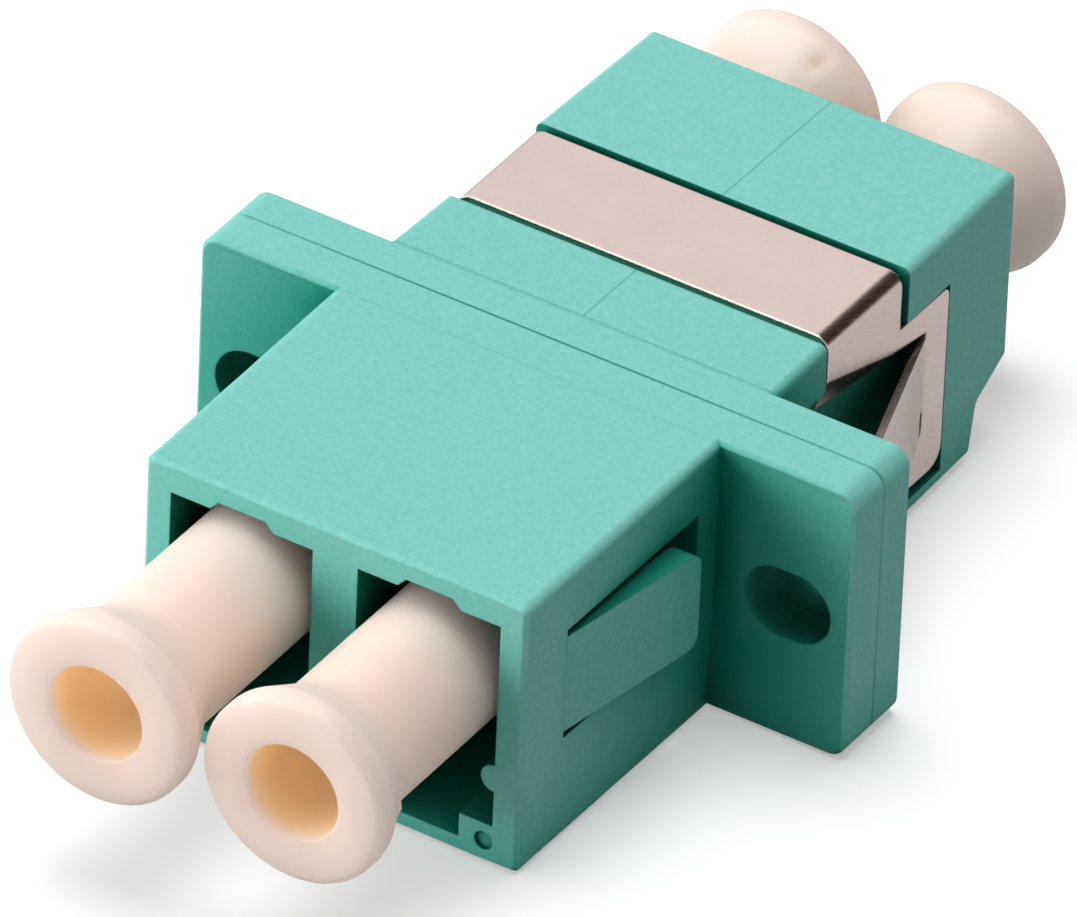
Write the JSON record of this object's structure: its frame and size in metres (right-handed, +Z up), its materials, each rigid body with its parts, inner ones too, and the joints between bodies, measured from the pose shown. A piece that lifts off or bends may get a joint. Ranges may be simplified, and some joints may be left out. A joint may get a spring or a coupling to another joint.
{
  "type": "fibre optic coupler",
  "caption": "Aqua plastic duplex fibre optic coupler with a welded flange, slotted ears, steel spring clip, ceramic alignment sleeves and ivory dust plugs that pull out of its ports.",
  "frame": {"origin": "middle of the two mounting slots, on the flange's rear face, where it meets the panel", "axes": "+X along the flange to the right, +Y along the fibres from the plain front half to the rear half with the clip, +Z up from the latch side"},
  "size_m": [0.022, 0.0367, 0.0092],
  "materials": {
    "housing_plastic": "fine moulded satin, aqua",
    "clip_steel": "rolled spring steel, bare",
    "sleeve_ceramic": "ground white ceramic",
    "plug_plastic": "soft moulded ivory, slightly translucent"
  },
  "bodies": {
    "coupler": {"front_housing": "housing_plastic", "rear_housing": "housing_plastic", "spring_clip": "clip_steel", "split_sleeve_left": "sleeve_ceramic", "split_sleeve_right": "sleeve_ceramic"},
    "plug_front_left": {"dust_plug_front_left": "plug_plastic"},
    "plug_front_right": {"dust_plug_front_right": "plug_plastic"},
    "plug_rear_left": {"dust_plug_rear_left": "plug_plastic"},
    "plug_rear_right": {"dust_plug_rear_right": "plug_plastic"}
  },
  "joints": [
    {"name": "front_left_pull", "type": "slide", "parent": "coupler", "child": "plug_front_left", "axis": [0, -1, 0], "range_m": [-0.0041, 0.0069]},
    {"name": "front_right_pull", "type": "slide", "parent": "coupler", "child": "plug_front_right", "axis": [0, -1, 0], "range_m": [-0.0037, 0.0073]},
    {"name": "rear_left_pull", "type": "slide", "parent": "coupler", "child": "plug_rear_left", "axis": [0, 1, 0], "range_m": [0, 0.011]},
    {"name": "rear_right_pull", "type": "slide", "parent": "coupler", "child": "plug_rear_right", "axis": [0, 1, 0], "range_m": [0, 0.011]}
  ]
}
